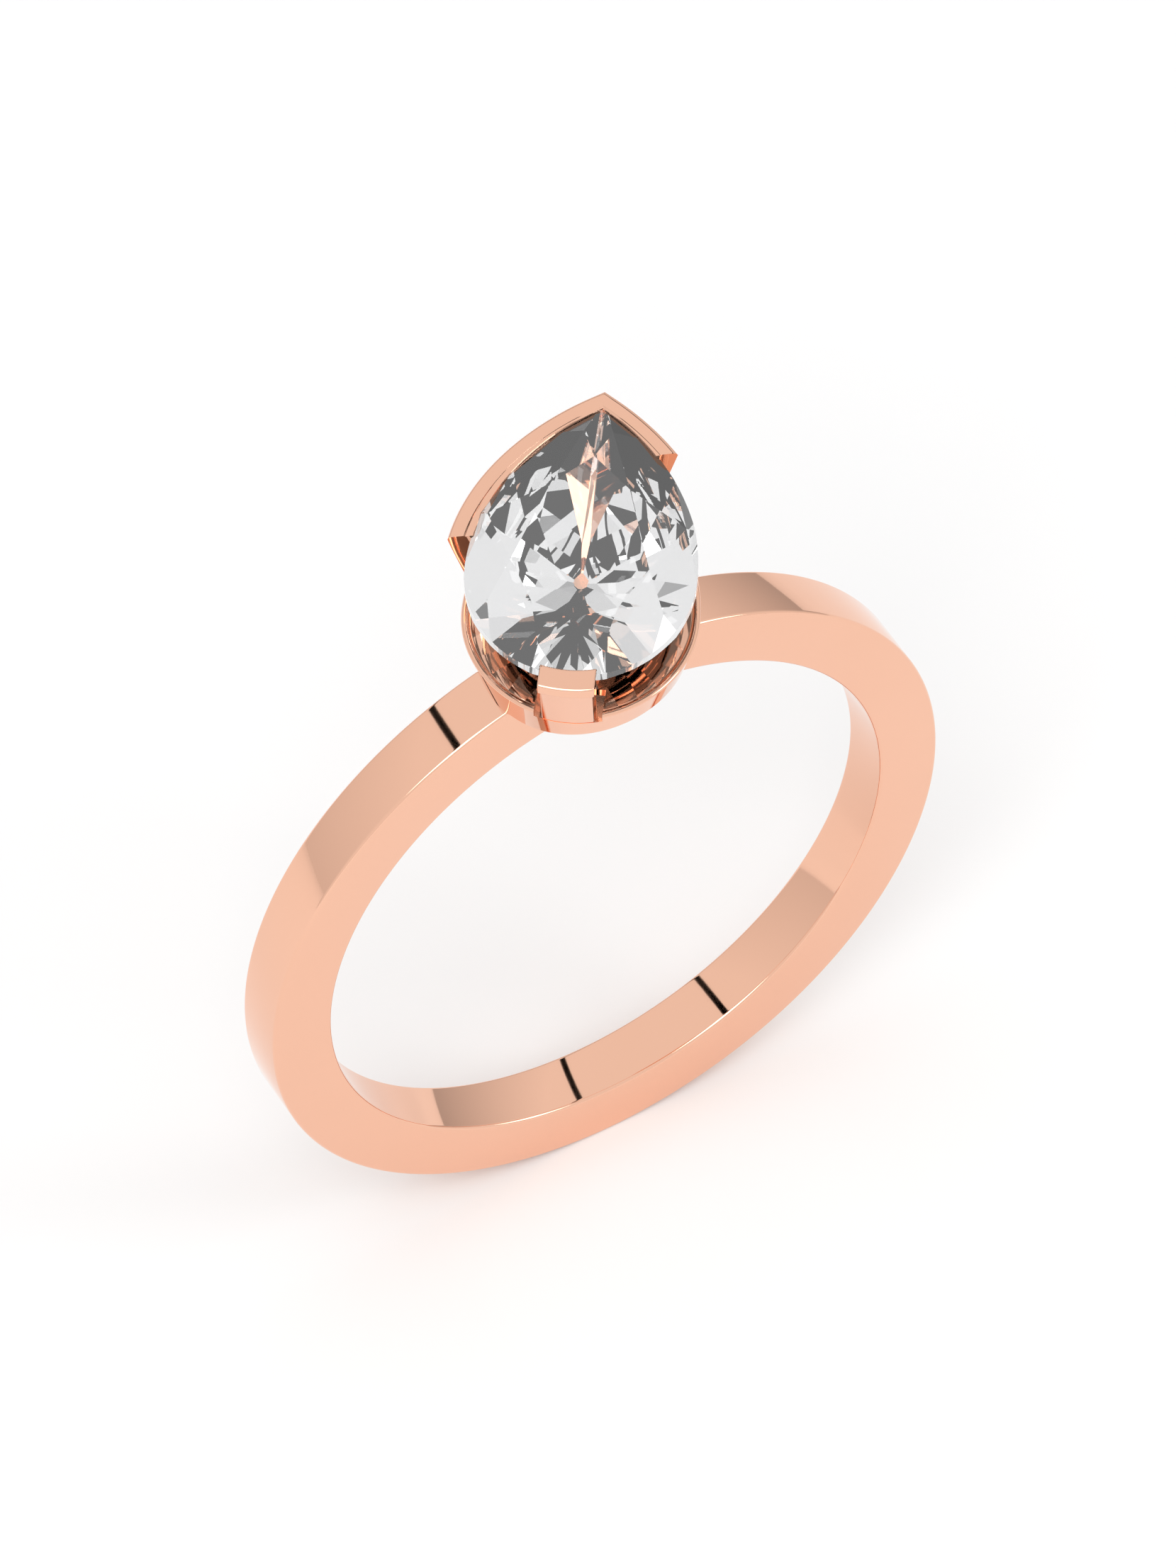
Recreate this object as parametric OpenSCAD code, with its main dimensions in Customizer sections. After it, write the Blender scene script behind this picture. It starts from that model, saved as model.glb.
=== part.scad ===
// Pear solitaire engagement ring: a flat polished band with a tilted pear head.
// The origin is the centre of the finger hole. +Z points up through the head,
// +Y runs along the finger and +X runs round the band. Sizes are millimetres.

/* [Band] */
// Inside radius of the finger hole
band_inner_r = 8.25; // [7.5:0.05:9.5]
// Thickness of the band between the finger and its outer face
band_thick = 1.72; // [1.6:0.02:2.0]
// Width of the band along the finger
band_width = 1.61; // [1.5:0.01:2.2]
// Bevel on the four long edges of the band
band_bevel = 0.10; // [0.05:0.01:0.2]

/* [Pear outline] */
// Angle between the point of the pear and the finger direction
pear_turn = 36.2; // [30:0.1:45]
// Offset of the round end's centre round the band and along the finger
pear_centre = [-0.28, 0.13];
// Width of the stone across its widest place
stone_width = 5.90; // [5.7:0.05:6.1]
// From the widest place to the round end
round_len = 3.29; // [3.2:0.01:3.4]
// From the widest place to the point of the stone
stone_tip = 5.57; // [5.4:0.01:5.7]
// From the widest place to the point of the metal outline
metal_tip = 5.33; // [5.2:0.01:5.5]
// Half of the angle at the point
tip_angle = 54.8; // [52:0.1:58]

/* [Stone] */
// Height of the lower edge of the girdle above the finger's axis
girdle_low = 12.18; // [12.0:0.01:12.3]
// Thickness of the girdle
girdle_thick = 0.20; // [0.1:0.01:0.3]
// Height of the crown above the girdle
crown_h = 0.72; // [0.6:0.01:0.85]
// Depth of the pavilion under the girdle
pavilion_h = 2.35; // [2.2:0.01:2.4]
// Size of the table as a share of the girdle outline
table_share = 0.60; // [0.55:0.01:0.65]
// Share of the crown's slope that the star facets take
star_share = 0.5; // [0.4:0.05:0.6]
// Share of the pavilion that the lower girdle facets take
lower_share = 0.78; // [0.7:0.01:0.85]

/* [Head] */
// Height of the flat tops of the tip bezel and the tab
head_top = 12.52; // [12.45:0.01:12.6]
// Height of the rim of the gallery
rim_height = 10.80; // [10.6:0.05:11.0]
// How far the gallery's rim stands outside the metal outline
rim_offset = 0.105; // [0.05:0.005:0.2]
// How much the wall widens for each millimetre of height
wall_flare = 0.288; // [0.2:0.002:0.35]
// Width of the sloping ledge inside the rim
ledge_width = 0.95; // [0.8:0.05:1.1]
// Drop of the ledge from the rim to its inner edge
ledge_drop = 0.18; // [0.1:0.01:0.3]
// Height of the gallery's floor
floor_height = 10.12; // [10.08:0.01:10.2]
// Radius of the gallery's curved underside where it overhangs the band
underside_r = 14; // [12:0.5:20]
// Angle of the two cut ends of the tip bezel across the pear
bezel_cut_angle = 13.5; // [5:0.5:20]
// Where the left cut starts, across and along the pear
bezel_cut_left = [-3.48, 0.77];
// Where the right cut starts, across and along the pear
bezel_cut_right = [2.05, 4.14];
// Thickness of the tip bezel below the stone
bezel_thick = 0.50; // [0.4:0.02:0.6]
// How far the bezel's lip reaches over the edge of the stone
lip_cover = 0.08; // [0.05:0.01:0.12]
// Width of the tab prong
tab_width = 1.44; // [1.3:0.02:1.6]
// How far the tab reaches over the edge of the stone
tab_cover = 0.16; // [0.1:0.01:0.2]
// Width of the slot on each side of the tab
slot_width = 0.15; // [0.1:0.01:0.2]

/* [Peg] */
// Radius of the peg that joins the head to the band
peg_r = 0.55; // [0.4:0.01:0.6]
// Depth of the peg's blind hole in the band
peg_depth = 1.05; // [0.8:0.05:1.2]

/* [Hidden] */
rose_gold = [0.87, 0.62, 0.52];
band_outer_r = band_inner_r + band_thick;
stone_half = stone_width / 2;
girdle_top = girdle_low + girdle_thick;
table_height = girdle_top + crown_h;
culet_height = girdle_low - pavilion_h;
// Edge rounding of the head's metal
edge_r = 0.09;
// Clearance between the stone and its culet pocket
culet_gap = 0.04;
// Anything larger than the ring, for cutting
far = 12;

// The right side of the pear is two cubic curves: round end to widest place,
// then widest place to point. Each curve is held by a pair of handles.
round_handle = 1.59;
lower_handle = 1.77;
upper_handle = 0.464;
tip_handle = 0.327;
round_steps = 10;
side_steps = 18;

function mix(a, b, t) = a + (b - a) * t;
function unit(v) = v / norm(v);
function curve_at(c, t) =
    pow(1 - t, 3) * c[0] + 3 * t * pow(1 - t, 2) * c[1]
    + 3 * t * t * (1 - t) * c[2] + pow(t, 3) * c[3];
function slope_at(c, t) =
    3 * pow(1 - t, 2) * (c[1] - c[0]) + 6 * t * (1 - t) * (c[2] - c[1])
    + 3 * t * t * (c[3] - c[2]);
function moved_at(c, t, off) =
    let (d = unit(slope_at(c, t))) curve_at(c, t) + off * [d[1], -d[0]];

round_curve = [
    [0, -round_len],
    [round_handle, -round_len],
    [stone_half, -lower_handle],
    [stone_half, 0]
];
function side_curve(tip) = [
    [stone_half, 0],
    [stone_half, upper_handle * tip],
    [0, tip] + tip_handle * tip * [sin(tip_angle), -cos(tip_angle)],
    [0, tip]
];

// Last place on a side curve that stays right of the pear's axis when it is moved
function last_t(c, off, low = 0, high = 1, n = 18) =
    off >= 0 ? 1
    : n == 0 ? low
    : let (mid = (low + high) / 2)
        moved_at(c, mid, off)[0] > 0.012
            ? last_t(c, off, mid, high, n - 1)
            : last_t(c, off, low, mid, n - 1);

// Right side of the pear, moved outward by off, from the round end to the point
function right_side(off, tip) =
    let (
        c = side_curve(tip),
        end = last_t(c, off),
        last = moved_at(c, end, off)
    )
    concat(
        [for (i = [0:round_steps - 1]) moved_at(round_curve, i / round_steps, off)],
        [for (i = [0:side_steps]) moved_at(c, end * i / side_steps, off)],
        [[0, last[1] + last[0] / tan(tip_angle)]]
    );
function pear(off, tip) =
    let (r = right_side(off, tip), n = len(r))
    concat(r, [for (i = [n - 2:-1:1]) [-r[i][0], r[i][1]]]);
function lifted(points, z) = [for (p = points) [p[0], p[1], z]];

// A closed solid through a stack of rings that all have the same number of points
module loft(rings) {
    n = len(rings[0]);
    m = len(rings);
    quads = [for (k = [0:m - 2], i = [0:n - 1])
        let (j = (i + 1) % n) [k * n + i, (k + 1) * n + i, (k + 1) * n + j, k * n + j]];
    halves = [for (q = quads, s = [0, 1]) s == 0 ? [q[0], q[1], q[2]] : [q[0], q[2], q[3]]];
    bottom = [[for (i = [0:n - 1]) i]];
    top = [[for (i = [n - 1:-1:0]) (m - 1) * n + i]];
    polyhedron(points = [for (r = rings) each r], faces = concat(bottom, halves, top));
}

// Rings of the metal outline at [offset, height] pairs
function metal_rings(levels) = [for (l = levels) lifted(pear(l[0], metal_tip), l[1])];
function stone_rings(levels) = [for (l = levels) lifted(pear(l[0], stone_tip), l[1])];

// Offset of the head's flared outer face from the metal outline at a height
function wall_offset(z) = rim_offset + wall_flare * (z - rim_height);

// Turns a shape from the pear's own directions into the ring's
module on_head() {
    translate([pear_centre[0], pear_centre[1], 0])
        rotate([0, 0, -pear_turn]) children();
}

// The space that the stone fills, from its culet to its table, with a gap round the culet
module stone_space() {
    girdle = pear(0, stone_tip);
    culet = culet_height - culet_gap;
    tip_share = 0.02;
    loft([
        lifted(girdle * tip_share, mix(culet, girdle_low, tip_share)),
        lifted(girdle, girdle_low),
        lifted(girdle, girdle_top),
        lifted(girdle * table_share, table_height)
    ]);
}

// The shape between the finger hole's centre and the outer face of the band
module band_core(r) {
    rotate([90, 0, 0]) cylinder(h = 2 * far, r = r, center = true, $fn = 180);
}

// The ring's flat band with bevelled edges and the blind hole for the peg
module shank() {
    b = band_bevel;
    w = band_width / 2;
    color(rose_gold) difference() {
        rotate([90, 0, 0]) rotate_extrude($fn = 180) polygon([
            [band_inner_r, -w + b],
            [band_inner_r + b, -w],
            [band_outer_r - b, -w],
            [band_outer_r, -w + b],
            [band_outer_r, w - b],
            [band_outer_r - b, w],
            [band_inner_r + b, w],
            [band_inner_r, w - b]
        ]);
        translate([pear_centre[0], 0, band_outer_r - peg_depth])
            cylinder(h = peg_depth + 1, r = peg_r, $fn = 48);
    }
}

// The pin soldered into the band and the gallery's floor, hollowed for the culet
module head_peg() {
    color(rose_gold) difference() {
        translate([pear_centre[0], 0, band_outer_r - peg_depth])
            cylinder(h = floor_height - band_outer_r + peg_depth, r = peg_r, $fn = 48);
        on_head() stone_space();
    }
}

// The low cup that joins the head to the band: flared wall, rim, ledge and floor
module gallery_base() {
    low = band_inner_r + 0.6;
    ledge_inner = rim_offset - ledge_width - 0.1;
    ledge_low = rim_height - ledge_drop;
    pocket = tab_width / 2 + slot_width;
    color(rose_gold) difference() {
        on_head() difference() {
            loft(metal_rings([
                [wall_offset(low), low],
                [wall_offset(rim_height) - 0.02, rim_height - 0.07],
                [rim_offset - 0.06, rim_height],
                [rim_offset - 0.15, rim_height],
                [rim_offset - 0.20, rim_height - 0.03],
                [ledge_inner, ledge_low],
                [ledge_inner - 0.03, floor_height]
            ]));
            translate([-pocket, -round_len - 1, ledge_low - 0.1])
                cube([2 * pocket, 1.1 + ledge_width, 1]);
            stone_space();
        }
        intersection() {
            band_core(band_outer_r);
            cube([2 * far, band_width, 2 * far], center = true);
        }
        intersection() {
            translate([0, 0, band_outer_r - underside_r]) band_core(underside_r);
            translate([-far, band_width / 2, 0]) cube([2 * far, far, far]);
        }
        intersection() {
            translate([0, 0, band_outer_r - underside_r]) band_core(underside_r);
            translate([-far, -band_width / 2 - far, 0]) cube([2 * far, far, far]);
        }
        translate([pear_centre[0], 0, band_outer_r - 1]) cylinder(h = 2, r = peg_r, $fn = 48);
    }
}

// The flared wall above the gallery, before it is cut to length
module upper_wall(foot, cover) {
    difference() {
        loft(metal_rings([
            [wall_offset(foot), foot],
            [wall_offset(head_top - edge_r), head_top - edge_r],
            [wall_offset(head_top) - 0.35 * edge_r, head_top - 0.3 * edge_r],
            [wall_offset(head_top) - edge_r, head_top]
        ]));
        loft(stone_rings([
            [-bezel_thick, foot - 1],
            [-bezel_thick, girdle_low - bezel_thick],
            [-cover, girdle_low],
            [-cover, head_top + 1]
        ]));
        stone_space();
    }
}

// The V-shaped wall that guards the point of the stone and laps its edge
module tip_bezel() {
    a = [cos(bezel_cut_angle), sin(bezel_cut_angle)];
    foot = rim_height - ledge_drop - 0.1;
    color(rose_gold) on_head() difference() {
        intersection() {
            upper_wall(foot, lip_cover);
            translate([0, 0, foot]) linear_extrude(height = 3) polygon([
                bezel_cut_left - 3 * a,
                bezel_cut_left + 3 * a,
                bezel_cut_right - 2 * a,
                bezel_cut_right + 4 * a,
                [far, far],
                [-far, far]
            ]);
        }
        gallery_profile();
    }
}

// The space inside and under the gallery's rim, so that the upper pieces rest on it
module gallery_profile() {
    low = band_inner_r + 0.6;
    ledge_inner = rim_offset - ledge_width - 0.1;
    loft(metal_rings([
        [wall_offset(low) + 0.3, low],
        [rim_offset + 0.1, rim_height - 0.07],
        [rim_offset - 0.06, rim_height],
        [rim_offset - 0.15, rim_height],
        [rim_offset - 0.20, rim_height - 0.03],
        [ledge_inner, rim_height - ledge_drop]
    ]));
}

// The tab that holds the round end of the stone, let into the gallery's wall
module tab_prong() {
    foot = rim_height - ledge_drop - 0.1;
    color(rose_gold) on_head() intersection() {
        upper_wall(foot, tab_cover);
        translate([-tab_width / 2, -round_len - 2, foot])
            cube([tab_width, 2.2, 3]);
    }
}

/* Facets of the stone. Each facet is a plane that cuts a pear-shaped blank. */
// Directions of the eight main facets round the stone, with 90 at the point
mains = [90, 36, -6, -48, -90, -132, -174, -216, -270];
girdle_line = pear(0, stone_tip);
function toward(a) = [cos(a), sin(a)];
// How far the outline reaches in a direction, and the point that reaches furthest
function reach(a) = max([for (p = girdle_line) p * toward(a)]);
function furthest(a) = [for (p = girdle_line) if (p * toward(a) > reach(a) - 1e-6) p][0];
// Crossing of the two outline tangents that face two directions
function corner(a, b, share) =
    let (na = toward(a), nb = toward(b), ha = share * reach(a), hb = share * reach(b))
    [ha * nb[1] - hb * na[1], hb * na[0] - ha * nb[0]] / (na[0] * nb[1] - na[1] * nb[0]);
function with_z(p, z) = [p[0], p[1], z];
// Plane through a point that contains the tangent facing a, as [normal, distance]
function tangent_plane(a, z, point) =
    let (
        run = reach(a) - [point[0], point[1]] * toward(a),
        rise = point[2] - z,
        n = unit(with_z(toward(a) * abs(rise), sign(rise) * run))
    )
    [n, n * with_z(toward(a) * reach(a), z)];
function plane_through(p, q, r) =
    let (n = unit(cross(q - p, r - p)), up = n[2] > 0 ? n : -n) [up, up * p];

function star_tip(a, b) =
    mix(with_z(corner(a, b, table_share), table_height),
        with_z(corner(a, b, 1), girdle_top), star_share);
function lower_tip(a, b) =
    mix(with_z(corner(a, b, 1), girdle_low), [0, 0, culet_height], lower_share);

facets = concat(
    [for (i = [0:7]) tangent_plane(mains[i], girdle_top,
        with_z(table_share * furthest(mains[i]), table_height))],
    [for (i = [0:7]) tangent_plane(mains[i], girdle_low, [0, 0, culet_height])],
    [for (i = [0:7], s = [0.25, 0.75]) tangent_plane(mix(mains[i], mains[i + 1], s),
        girdle_top, star_tip(mains[i], mains[i + 1]))],
    [for (i = [0:7], s = [0.25, 0.75]) tangent_plane(mix(mains[i], mains[i + 1], s),
        girdle_low, lower_tip(mains[i], mains[i + 1]))],
    [for (i = [0:7]) plane_through(
        with_z(table_share * furthest(mains[i]), table_height),
        with_z(table_share * furthest(mains[i + 1]), table_height),
        star_tip(mains[i], mains[i + 1]))]
);

// Everything beyond one facet's plane
module beyond(facet) {
    n = facet[0];
    translate(n * facet[1])
        rotate([0, acos(n[2]), atan2(n[1], n[0])])
            translate([-far, -far, 0]) cube([2 * far, 2 * far, far]);
}

// The pear brilliant. It is convex, so its hull is the stone itself.
module diamond() {
    color([0.93, 0.95, 0.97, 0.6]) on_head() hull() difference() {
        translate([0, 0, culet_height])
            linear_extrude(height = table_height - culet_height) polygon(girdle_line);
        for (f = facets) beyond(f);
    }
}

shank();
head_peg();
gallery_base();
tip_bezel();
tab_prong();
diamond();
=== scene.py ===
"""Pear solitaire engagement ring: the visual model, in the frame of the CAD parts."""
import functools
import math

import bmesh
import bpy
from mathutils import Matrix, Vector


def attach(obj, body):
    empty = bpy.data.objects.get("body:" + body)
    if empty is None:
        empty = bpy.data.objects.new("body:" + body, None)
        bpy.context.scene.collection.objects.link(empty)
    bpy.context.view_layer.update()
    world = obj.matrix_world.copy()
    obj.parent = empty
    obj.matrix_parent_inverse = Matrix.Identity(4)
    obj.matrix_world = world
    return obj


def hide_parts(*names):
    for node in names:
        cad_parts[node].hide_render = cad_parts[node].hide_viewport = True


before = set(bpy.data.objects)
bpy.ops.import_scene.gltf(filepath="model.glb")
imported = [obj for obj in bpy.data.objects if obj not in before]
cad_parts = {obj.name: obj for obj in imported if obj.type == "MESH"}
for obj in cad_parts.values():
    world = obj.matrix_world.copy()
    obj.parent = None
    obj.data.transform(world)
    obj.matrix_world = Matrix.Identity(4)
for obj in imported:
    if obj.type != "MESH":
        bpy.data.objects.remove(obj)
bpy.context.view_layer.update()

# Sizes are in millimetres, and meshes are scaled to the frame's metres when they are made.
MM = 0.001

# Band
BAND_IN = 8.25
BAND_OUT = 9.97
BAND_HALF = 0.805
BAND_ROUND = 0.10
BAND_STEPS = 360

# Pear outlines, across and along the pear from its widest place
TURN = math.radians(36.2)
CENTRE = (-0.28, 0.13)
STONE_HALF = 2.95
ROUND_LEN = 3.29
STONE_TIP = 5.57
METAL_TIP = 5.33
TIP_ANGLE = math.radians(54.8)
ROUND_HANDLE = 1.59
LOWER_HANDLE = 1.77
UPPER_HANDLE = 0.464
TIP_HANDLE = 0.327

# Stone
GIRDLE_LOW = 12.18
GIRDLE_TOP = 12.38
TABLE_Z = 13.10
CULET_Z = 9.83
TABLE_SHARE = 0.60
STAR_SHARE = 0.5
LOWER_SHARE = 0.78
MAIN_ANGLES = (90, 36, -6, -48, -90, -132, -174, -216, -270)
HALF_FACETS = (0.25, 0.75)

# Head: heights above the finger's axis, and how the outer face leans
HEAD_TOP = 12.52
RIM = 10.80
RIM_OUT = 0.105
FLARE = 0.288
BEAD_START = 10.73
FLOOR = 10.12
BEZEL_FOOT = 10.62
UNDER_R = 14.0
CUT = math.radians(13.5)
CUT_LEFT = (-3.48, 0.77)
CUT_RIGHT = (2.05, 4.14)
SEAT_DEPTH = 0.50
TOP_ROUND = 0.10

# Tab and the pocket that it stands in
POCKET_HALF = 0.87
POCKET_FLOOR = 10.52
POCKET_TOP = 11.6
POCKET_ENDS = (-4.6, -2.24)
POST_HALF = 0.67
HEAD_HALF = 0.72
TAB_COVER = 0.12

# Edges that turn by more than this stay sharp in the shading, in degrees.
SHARP = 32.0
BEVEL_FROM = 38.0


# ---------------------------------------------------------------- pear outlines
def mix(a, b, t):
    return a + (b - a) * t


def curves(tip):
    """The right side of the pear: round end to widest place, then on to the point."""
    handle = (TIP_HANDLE * tip * math.sin(TIP_ANGLE), tip - TIP_HANDLE * tip * math.cos(TIP_ANGLE))
    first = ((0, -ROUND_LEN), (ROUND_HANDLE, -ROUND_LEN), (STONE_HALF, -LOWER_HANDLE), (STONE_HALF, 0))
    second = ((STONE_HALF, 0), (STONE_HALF, UPPER_HANDLE * tip), handle, (0, tip))
    return first, second


def moved(c, t, off):
    """A place on a cubic curve, moved outward by off."""
    s = 1 - t
    x, y = (s**3 * c[0][k] + 3 * t * s * s * c[1][k] + 3 * t * t * s * c[2][k] + t**3 * c[3][k]
            for k in (0, 1))
    dx, dy = (s * s * (c[1][k] - c[0][k]) + 2 * t * s * (c[2][k] - c[1][k])
              + t * t * (c[3][k] - c[2][k]) for k in (0, 1))
    d = math.hypot(dx, dy)
    return x + off * dy / d, y - off * dx / d


def solve(f, low, high):
    """Where f goes from below zero to above it."""
    for _ in range(40):
        mid = (low + high) / 2
        low, high = (mid, high) if f(mid) < 0 else (low, mid)
    return (low + high) / 2


def last_t(c, off):
    """Last place on the side curve that is still right of the axis once moved."""
    return 1.0 if off >= 0 else solve(lambda t: 0.004 - moved(c, t, off)[0], 0.3, 1.0)


def point_of(c, off, end):
    """The point of a moved outline: its side runs on straight from end to the axis."""
    x, y = moved(c, end, off)
    return 0.0, y + x / math.tan(TIP_ANGLE)


@functools.lru_cache(maxsize=None)
def pear(off, tip=METAL_TIP, n_round=56, n_side=96):
    """The closed outline moved outward by off, as (across, along) pairs."""
    first, second = curves(tip)
    end = last_t(second, off)
    right = [moved(first, i / n_round, off) for i in range(n_round)]
    right += [moved(second, end * i / n_side, off) for i in range(n_side + 1)]
    right.append(point_of(second, off, end))
    return right + [(-x, y) for x, y in right[-2:0:-1]]


def tip_path(off, tip, n=90):
    """The outline round the point, from the bezel's left cut to its right cut."""
    second = curves(tip)[1]
    end = last_t(second, off)
    across = (-math.sin(CUT), math.cos(CUT))

    def start(side, cut):
        return solve(lambda t: (side * moved(second, t, off)[0] - cut[0]) * across[0]
                     + (moved(second, t, off)[1] - cut[1]) * across[1], 0.0, end)

    left = start(-1, CUT_LEFT)
    right = start(1, CUT_RIGHT)
    path = [moved(second, mix(left, end, i / n), off) for i in range(n + 1)]
    path = [(-x, y) for x, y in path] + [point_of(second, off, end)]
    return path + [moved(second, mix(end, right, i / n), off) for i in range(n + 1)]


def round_path(off, half, n=24):
    """The outline round the blunt end, between two lines along the pear."""
    first = curves(METAL_TIP)[0]
    path = []
    for i in range(n + 1):
        x = half * (2 * i / n - 1)
        t = solve(lambda u: moved(first, u, off)[0] - abs(x), 0.0, 1.0)
        path.append((x, moved(first, t, off)[1]))
    return path


def place(x, y, z):
    """From the pear's own directions to the ring's."""
    c = math.cos(TURN)
    s = math.sin(TURN)
    return CENTRE[0] + x * c + y * s, CENTRE[1] - x * s + y * c, z


def wall(z):
    """How far the head's flared outer face stands outside the metal outline."""
    return RIM_OUT + FLARE * (z - RIM)


def arc(cx, cz, r, start, end, n=6):
    """Points on a rounded edge of a section, as (offset, height) pairs."""
    angles = [math.radians(mix(start, end, i / n)) for i in range(n + 1)]
    return [(cx + r * math.cos(a), cz + r * math.sin(a)) for a in angles]


# ---------------------------------------------------------------- meshes
def link(name, data):
    ob = bpy.data.objects.new(name, data)
    bpy.context.scene.collection.objects.link(ob)
    return ob


def shade(me, sharp=SHARP):
    """Smooth shading, apart from edges that turn by more than sharp."""
    me.shade_smooth()
    me.set_sharp_from_angle(angle=math.radians(sharp))


def make(name, points, faces, sharp=SHARP):
    """A mesh object from points in millimetres."""
    me = bpy.data.meshes.new(name)
    me.from_pydata([(x * MM, y * MM, z * MM) for x, y, z in points], [], faces)
    bm = bmesh.new()
    bm.from_mesh(me)
    bmesh.ops.recalc_face_normals(bm, faces=bm.faces)
    bm.to_mesh(me)
    bm.free()
    shade(me, sharp)
    me.validate()
    return link(name, me)


def strips(n, m, turns=False):
    """Faces between m rings of n points. With turns, the last ring is joined to the first."""
    last = m if turns else m - 1
    return [tuple(v % (n * m) for v in (k * n + i, k * n + (i + 1) % n,
                                        (k + 1) * n + (i + 1) % n, (k + 1) * n + i))
            for k in range(last) for i in range(n)]


def loft(rings):
    """Points and faces of a closed solid through rings that have the same number of points."""
    n = len(rings[0])
    m = len(rings)
    caps = [tuple(range(n)), tuple((m - 1) * n + i for i in range(n))]
    return [p for ring in rings for p in ring], strips(n, m) + caps


def swept(paths):
    """A solid swept along paths: one open path for each corner of its section."""
    return loft([[path[i] for path in paths] for i in range(len(paths[0]))])


def cut_away(ob, cutter):
    """Takes cutter away from ob and removes cutter."""
    mod = ob.modifiers.new("cut", "BOOLEAN")
    mod.operation = "DIFFERENCE"
    mod.solver = "EXACT"
    mod.object = cutter
    graph = bpy.context.evaluated_depsgraph_get()
    me = bpy.data.meshes.new_from_object(ob.evaluated_get(graph))
    ob.modifiers.clear()
    ob.data = me
    shade(me)
    bpy.data.objects.remove(cutter)


def bevel(ob, width, segments=3):
    """Rounds the sharp edges."""
    mod = ob.modifiers.new("edges", "BEVEL")
    mod.width = width * MM
    mod.segments = segments
    mod.limit_method = "ANGLE"
    mod.angle_limit = math.radians(BEVEL_FROM)
    mod.harden_normals = True


# ---------------------------------------------------------------- band
def build_band():
    """The flat band: a rounded rectangle carried round the finger."""
    h = BAND_HALF
    r = BAND_ROUND
    profile = arc(BAND_OUT - r, h - r, r, 0, 90) + arc(BAND_IN + r, h - r, r, 90, 180)
    profile += arc(BAND_IN + r, -h + r, r, 180, 270) + arc(BAND_OUT - r, -h + r, r, 270, 360)
    points = []
    for i in range(BAND_STEPS):
        a = 2 * math.pi * i / BAND_STEPS
        points += [(q * math.sin(a), y, q * math.cos(a)) for q, y in profile]
    return make("band", points, strips(len(profile), BAND_STEPS, True), 60.0)


# ---------------------------------------------------------------- low cup
def underside(x, y):
    """Height of the cup's underside: the band's own curve, easing out to a flatter one."""
    sunk = 0.004
    inset = 0.03
    fillet = 0.22
    near = math.sqrt(BAND_OUT**2 - min(x * x, 60)) - sunk
    away = BAND_OUT - UNDER_R + math.sqrt(UNDER_R**2 - x * x)
    t = min(max((abs(y) - BAND_HALF + inset) / fillet, 0), 1)
    return mix(near, away, t * t * (3 - 2 * t))


def under(x, y):
    """The place on the underside below a place in the pear's directions."""
    u, v, _ = place(x, y, 0)
    return u, v, underside(u, v)


def lower_edge():
    """Where the flared wall meets the underside. A few rounds settle each height."""
    edge = []
    for i in range(len(pear(0))):
        z = 9.7
        for _ in range(12):
            x, y = pear(round(wall(z), 6))[i]
            z = under(x, y)[2]
        edge.append((x, y, z))
    return edge


def build_gallery():
    """The cup in one skin: underside, wall, rim, ledge, floor and the pit for the culet."""
    edge = lower_edge()
    rings = [[under(x * s, y * s) for x, y, _ in edge]
             for s in (0.02, 0.2, 0.4, 0.55, 0.7, 0.8, 0.88, 0.94, 0.98)]
    rings.append([place(*p) for p in edge])
    wall_steps = 12
    for k in range(1, wall_steps + 1):
        t = k / wall_steps
        rings.append([place(mix(x, u, t), mix(y, v, t), mix(z, BEAD_START, t))
                      for (x, y, z), (u, v) in zip(edge, pear(wall(BEAD_START)))])
    # Rim bead, the fine line inside it, the sloping ledge and the drop to the floor
    section = arc(0.0, 10.715, 0.085, 10, 90) + arc(-0.03, 10.715, 0.085, 90, 165)
    section += [(-0.122, 10.722), (-0.135, 10.735), (-0.16, 10.738)]
    section += [(-0.5, 10.690), (-0.90, 10.628), (-0.935, 10.618), (-0.948, 10.600)]
    section += [(-0.960, 10.4), (-0.972, 10.16), (-0.985, FLOOR)]
    rings += [[place(x, y, z) for x, y in pear(off)] for off, z in section]
    # Floor and pit, as shares of the stone's outline
    pit = [(s, FLOOR) for s in (0.62, 0.45, 0.30, 0.15)] + [(0.14, 10.11), (0.02, CULET_Z)]
    rings += [[place(x * s, y * s, z) for x, y in pear(0, STONE_TIP)] for s, z in pit]
    ob = make("gallery", *loft(rings))
    h = POCKET_HALF
    near, far = POCKET_ENDS
    corners = ((-h, near), (h, near), (h, far), (-h, far))
    pocket = [[place(x, y, z) for x, y in corners] for z in (POCKET_FLOOR, POCKET_TOP)]
    cut_away(ob, make("pocket", *loft(pocket)))
    return ob


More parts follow.
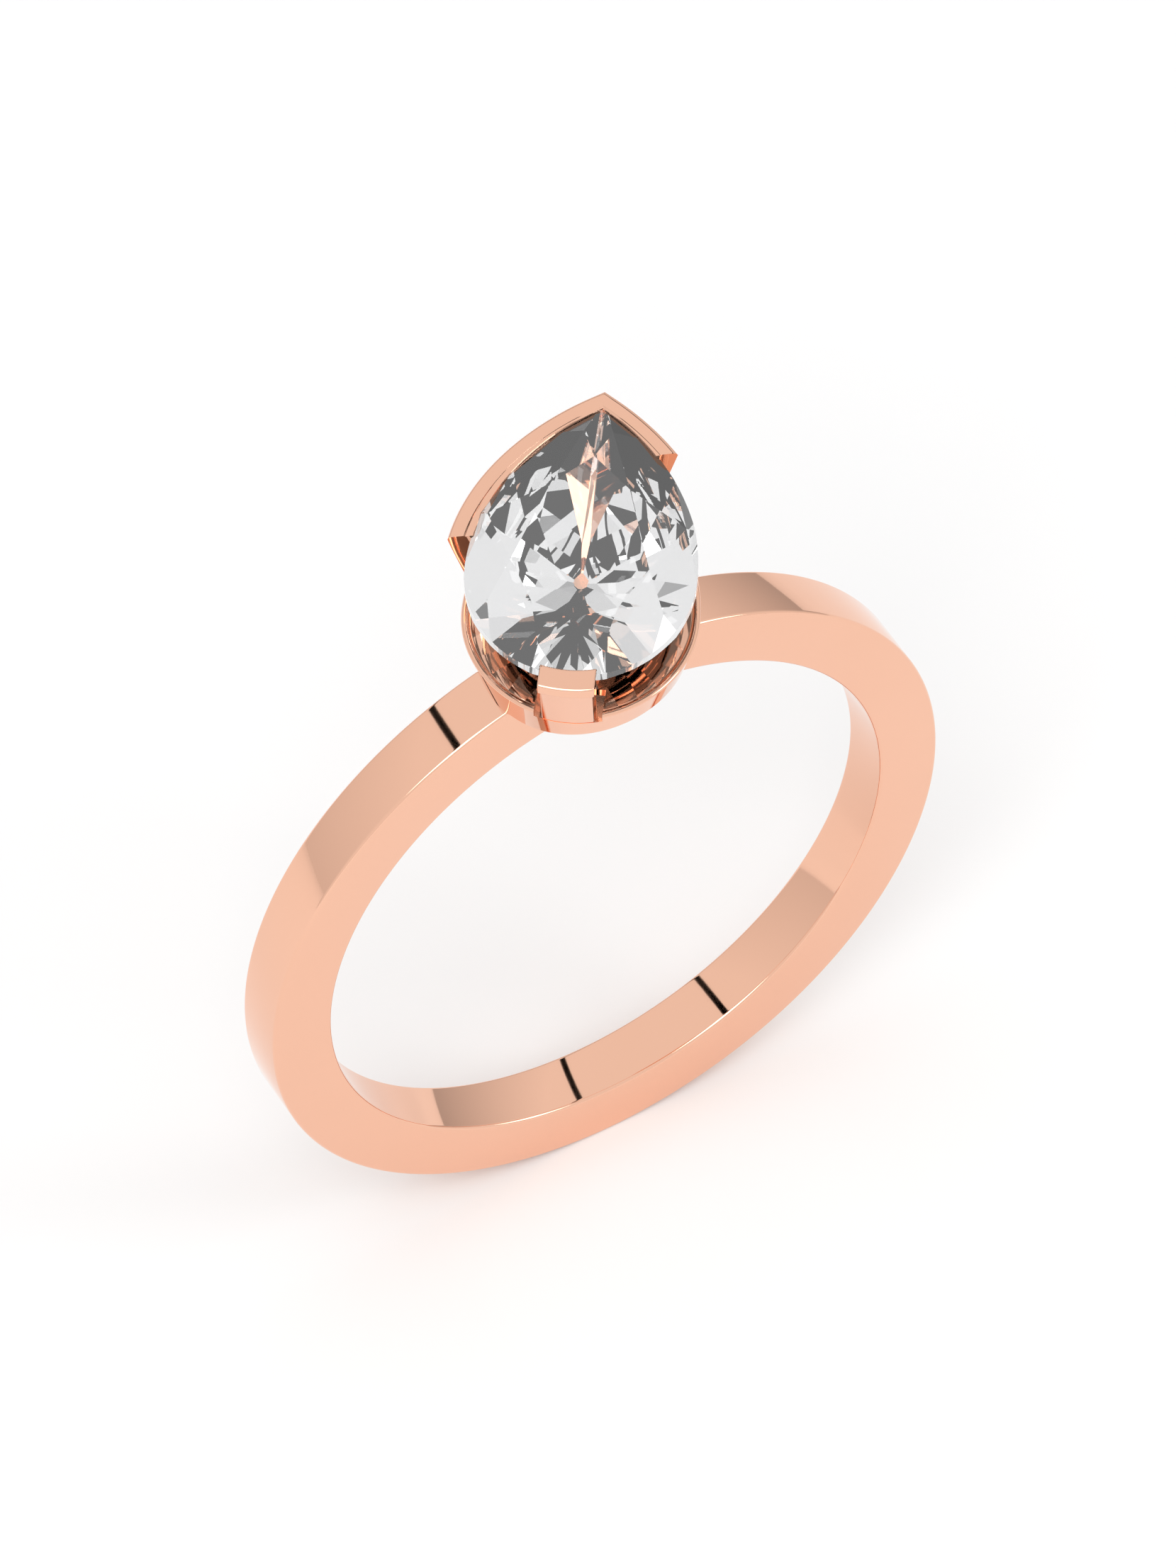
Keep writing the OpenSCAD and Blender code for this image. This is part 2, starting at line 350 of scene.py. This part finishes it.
# ---------------------------------------------------------------- bezel and tab
def build_bezel():
    """The V at the point: a flared wall, a flat top, a groove and a thin lip on the stone."""
    top = HEAD_TOP
    r = TOP_ROUND
    metal = [(wall(z), z) for z in (BEZEL_FOOT, 11.3, 12.0)]
    metal += arc(wall(top - r) - r, top - r, r, 8, 90)
    metal += [(0.20, top), (0.165, top - 0.006), (0.150, top - 0.028), (0.135, top - 0.030)]
    stone = [(0.09, top - 0.022), (0.0, top - 0.022), (-0.06, top - 0.030), (-0.08, top - 0.055)]
    stone += [(-0.085, top - 0.10), (0.0, GIRDLE_TOP + 0.01), (0.01, GIRDLE_LOW - 0.03)]
    stone += [(-0.45, 11.78), (-SEAT_DEPTH, 11.70), (-SEAT_DEPTH, BEZEL_FOOT)]
    paths = [[place(x, y, z) for x, y in tip_path(off, tip)]
             for part, tip in ((metal, METAL_TIP), (stone, STONE_TIP)) for off, z in part]
    ob = make("tip_bezel_v", *swept(paths))
    bevel(ob, 0.035)
    return ob


def build_tab():
    """The tab at the round end: a post flush with the cup and a wider head."""
    top = HEAD_TOP
    r = TOP_ROUND
    inner_r = 0.06
    under_r = 0.06
    post = [(wall(z) - 0.004, z) for z in (POCKET_FLOOR, 11.4)]
    post += [(wall(12.22) - 0.01, 12.22), (0.0, 12.40), (0.01, 12.16)]
    post += [(-0.44, 11.80), (-SEAT_DEPTH, 11.70), (-SEAT_DEPTH, POCKET_FLOOR)]
    head = arc(wall(top) - 0.085, 12.25, under_r, -90, 0)
    head += arc(wall(top) - 0.125, top - r, r, 5, 90)
    head += arc(-TAB_COVER + inner_r, top - inner_r, inner_r, 90, 180)
    head += [(-TAB_COVER, 12.42), (0.0, 12.39), (0.01, 12.16)]
    points = []
    faces = []
    for section, half in ((post, POST_HALF), (head, HEAD_HALF)):
        paths = [[place(x, y, z) for x, y in round_path(off, half)] for off, z in section]
        more, quads = swept(paths)
        faces += [tuple(v + len(points) for v in f) for f in quads]
        points += more
    ob = make("tab", points, faces)
    bevel(ob, 0.075, 5)
    return ob


# ---------------------------------------------------------------- stone
def facet_planes(girdle):
    """The planes of the pear brilliant, as (point, outward normal) pairs."""
    def reach(a):
        return max(x * math.cos(a) + y * math.sin(a) for x, y in girdle)

    def corner(a, b, share, z):
        """Where the tangents of a shrunk girdle that face a and b cross."""
        ha = share * reach(a)
        hb = share * reach(b)
        d = math.cos(a) * math.sin(b) - math.sin(a) * math.cos(b)
        return Vector(((ha * math.sin(b) - hb * math.sin(a)) / d,
                       (hb * math.cos(a) - ha * math.cos(b)) / d, z))

    def tangent_plane(a, z, point):
        """The plane through point and the girdle's tangent that faces a."""
        run = reach(a) - (point[0] * math.cos(a) + point[1] * math.sin(a))
        rise = point[2] - z
        n = Vector((math.cos(a) * abs(rise), math.sin(a) * abs(rise),
                    math.copysign(run, rise))).normalized()
        return Vector((math.cos(a) * reach(a), math.sin(a) * reach(a), z)), n

    def table_corner(a):
        x, y = max(girdle, key=lambda p: p[0] * math.cos(a) + p[1] * math.sin(a))
        return Vector((x * TABLE_SHARE, y * TABLE_SHARE, TABLE_Z))

    planes = []
    culet = Vector((0, 0, CULET_Z))
    mains = [math.radians(a) for a in MAIN_ANGLES]
    for a, b in zip(mains, mains[1:]):
        star = corner(a, b, TABLE_SHARE, TABLE_Z).lerp(corner(a, b, 1, GIRDLE_TOP), STAR_SHARE)
        lower = corner(a, b, 1, GIRDLE_LOW).lerp(culet, LOWER_SHARE)
        planes.append(tangent_plane(a, GIRDLE_TOP, table_corner(a)))
        planes.append(tangent_plane(a, GIRDLE_LOW, culet))
        for s in HALF_FACETS:
            planes.append(tangent_plane(mix(a, b, s), GIRDLE_TOP, star))
            planes.append(tangent_plane(mix(a, b, s), GIRDLE_LOW, lower))
        p = table_corner(a)
        n = (table_corner(b) - p).cross(star - p).normalized()
        planes.append((p, n if n.z > 0 else -n))
    return planes


def build_stone():
    """The pear brilliant: a pear-shaped blank cut by one plane for each facet."""
    girdle = pear(0, STONE_TIP, 28, 60)
    bm = bmesh.new()
    low = [bm.verts.new((x, y, CULET_Z)) for x, y in girdle]
    high = [bm.verts.new((x, y, TABLE_Z)) for x, y in girdle]
    bm.faces.new(low[::-1])
    bm.faces.new(high)
    for i in range(len(girdle)):
        j = (i + 1) % len(girdle)
        bm.faces.new((low[i], low[j], high[j], high[i]))
    for co, no in facet_planes(girdle):
        geom = bm.verts[:] + bm.edges[:] + bm.faces[:]
        cut = bmesh.ops.bisect_plane(bm, geom=geom, dist=1e-6, plane_co=co, plane_no=no,
                                     clear_outer=True)
        rim = [e for e in cut["geom_cut"] if isinstance(e, bmesh.types.BMEdge)]
        rim = [e for e in rim if e.is_valid and e.is_boundary]
        if len(rim) > 2:
            bmesh.ops.contextual_create(bm, geom=rim)
    bmesh.ops.dissolve_degenerate(bm, dist=1e-5, edges=bm.edges[:])
    bmesh.ops.recalc_face_normals(bm, faces=bm.faces[:])
    for v in bm.verts:
        v.co = Vector(place(*v.co)) * MM
    me = bpy.data.meshes.new("stone")
    bm.to_mesh(me)
    bm.free()
    return link("stone", me)


# ---------------------------------------------------------------- shader nodes
def feed(links, socket, value):
    """Sets a socket to a number, or links it to another socket."""
    if isinstance(value, (int, float)):
        socket.default_value = value
    else:
        links.new(value, socket)


def noise(nodes, links, scale, detail=3.0):
    """Noise fixed to the object, with scale in cycles per metre."""
    coord = nodes.new("ShaderNodeTexCoord")
    tex = nodes.new("ShaderNodeTexNoise")
    tex.inputs["Scale"].default_value = scale
    tex.inputs["Detail"].default_value = detail
    links.new(coord.outputs["Object"], tex.inputs["Vector"])
    return tex.outputs["Fac"]


def tones(nodes, links, source, low, high):
    """A colour between low and high that follows the middle of a noise."""
    node = nodes.new("ShaderNodeValToRGB")
    first, last = node.color_ramp.elements
    first.position = 0.3
    first.color = (*low, 1)
    last.position = 0.7
    last.color = (*high, 1)
    links.new(source, node.inputs["Fac"])
    return node.outputs["Color"]


def ranged(nodes, links, source, low, high, start=0.0, end=1.0):
    """The source's range from start to end, mapped to low to high."""
    node = nodes.new("ShaderNodeMapRange")
    node.inputs["From Min"].default_value = start
    node.inputs["From Max"].default_value = end
    feed(links, node.inputs["To Min"], low)
    feed(links, node.inputs["To Max"], high)
    links.new(source, node.inputs["Value"])
    return node.outputs["Result"]


def maths(nodes, links, operation, *values):
    """A Math node whose inputs are sockets or numbers."""
    node = nodes.new("ShaderNodeMath")
    node.operation = operation
    for socket, value in zip(node.inputs, values):
        feed(links, socket, value)
    return node.outputs[0]


# ---------------------------------------------------------------- materials
def new_material(name):
    mat = bpy.data.materials.new(name)
    mat.use_nodes = True
    nodes = mat.node_tree.nodes
    return mat, nodes, mat.node_tree.links, nodes["Principled BSDF"]


def rose_gold():
    """Mirror-polished metal with a faint change of tone and polish."""
    mat, nodes, links, shader = new_material("rose_gold")
    tone = tones(nodes, links, noise(nodes, links, 180.0), (0.885, 0.515, 0.365), (0.90, 0.53, 0.38))
    links.new(tone, shader.inputs["Base Color"])
    shader.inputs["Metallic"].default_value = 1.0
    links.new(ranged(nodes, links, noise(nodes, links, 900.0), 0.03, 0.06),
              shader.inputs["Roughness"])
    bump = nodes.new("ShaderNodeBump")
    bump.inputs["Strength"].default_value = 0.01
    bump.inputs["Distance"].default_value = 0.00001
    links.new(noise(nodes, links, 2500.0), bump.inputs["Height"])
    links.new(bump.outputs["Normal"], shader.inputs["Normal"])
    return mat


def clear_diamond():
    """Clear diamond with a barely visible cold tint."""
    mat, nodes, links, shader = new_material("diamond")
    tint = tones(nodes, links, noise(nodes, links, 400.0), (0.985, 0.99, 1.0), (1.0, 1.0, 1.0))
    links.new(tint, shader.inputs["Base Color"])
    shader.inputs["Transmission Weight"].default_value = 1.0
    shader.inputs["IOR"].default_value = 2.417
    links.new(ranged(nodes, links, noise(nodes, links, 700.0), 0.0, 0.004),
              shader.inputs["Roughness"])
    return mat


def white_paper():
    """The floor's matt white."""
    mat, nodes, links, shader = new_material("floor")
    tone = tones(nodes, links, noise(nodes, links, 8.0), (0.90, 0.90, 0.90), (0.92, 0.92, 0.92))
    links.new(tone, shader.inputs["Base Color"])
    shader.inputs["Roughness"].default_value = 0.9
    shader.inputs["Specular IOR Level"].default_value = 0.1
    return mat


# ---------------------------------------------------------------- studio
def area(name, side, power, location):
    """A square soft light that faces the ring."""
    data = bpy.data.lights.new(name, "AREA")
    data.shape = "RECTANGLE"
    data.size = side
    data.size_y = side
    data.energy = power
    ob = link(name, data)
    ob.location = location
    ob.rotation_euler = (-Vector(location)).to_track_quat("-Z", "Y").to_euler()


def studio_world():
    """A soft white studio: darker at the back near the horizon, bright overhead and in front."""
    world = bpy.data.worlds.new("studio")
    world.use_nodes = True
    nodes = world.node_tree.nodes
    links = world.node_tree.links
    coord = nodes.new("ShaderNodeTexCoord")
    split = nodes.new("ShaderNodeSeparateXYZ")
    links.new(coord.outputs["Generated"], split.inputs["Vector"])
    x, y, z = split.outputs
    horizon = ranged(nodes, links, x, 0.80, 0.52, -0.8, 0.8)
    back = ranged(nodes, links, z, horizon, 1.0, 0.0, 0.65)
    # Two dark gaps between the overhead panels, which show as thin lines on the band
    slope = maths(nodes, links, "ABSOLUTE", maths(nodes, links, "DIVIDE", x, z))
    gap = maths(nodes, links, "COMPARE", slope, 0.59, 0.028)
    back = maths(nodes, links, "MULTIPLY", back, maths(nodes, links, "SUBTRACT", 1.0, gap))
    in_front = ranged(nodes, links, y, 0.0, 1.0, 0.3, -0.4)
    links.new(ranged(nodes, links, in_front, back, 1.0), nodes["Background"].inputs["Color"])
    nodes["Background"].inputs["Strength"].default_value = 0.95
    return world


def build_camera():
    """The camera, in metres, looking down at the ring from the front left."""
    data = bpy.data.cameras.new("camera")
    data.lens = 307.8
    data.sensor_width = 36.0
    data.sensor_fit = "AUTO"
    data.clip_start = 0.01
    data.clip_end = 10.0
    eye = link("camera", data)
    right = Vector((0.8629, -0.5053, 0.0)).normalized()
    forward = Vector((0.3145, 0.5372, -0.7827)).normalized()
    up = right.cross(forward).normalized()
    eye.matrix_world = Matrix((
        (right.x, up.x, -forward.x, -0.1087),
        (right.y, up.y, -forward.y, -0.1854),
        (right.z, up.z, -forward.z, 0.2741),
        (0, 0, 0, 1)))
    return eye


# ---------------------------------------------------------------- scene
def dress(ob, mat):
    ob.data.materials.clear()
    ob.data.materials.append(mat)


gold = rose_gold()
pieces = (
    (build_band(), "shank", gold, "rose_gold"),
    (build_gallery(), "gallery_base", gold, "rose_gold"),
    (build_bezel(), "tip_bezel", gold, "rose_gold"),
    (build_tab(), "tab_prong", gold, "rose_gold"),
    (build_stone(), "diamond", clear_diamond(), "diamond"),
)
for piece, node, mat, slot in pieces:
    dress(piece, mat)
    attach(piece, "root")
    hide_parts(node)
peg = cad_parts["head_peg"]
dress(peg, gold)

reach = 900
ground = make("floor", [(x, y, -BAND_OUT) for x, y in
                        ((-reach, -reach), (reach, -reach), (reach, reach), (-reach, reach))],
              [(0, 1, 2, 3)])
ground.data.materials.append(white_paper())

area("key", 0.30, 0.85, (-0.25, -0.25, 0.45))
area("fill", 0.20, 0.35, (0.40, -0.30, 0.30))
bpy.context.scene.world = studio_world()
bpy.context.scene.view_settings.view_transform = "Standard"
bpy.context.scene.camera = build_camera()
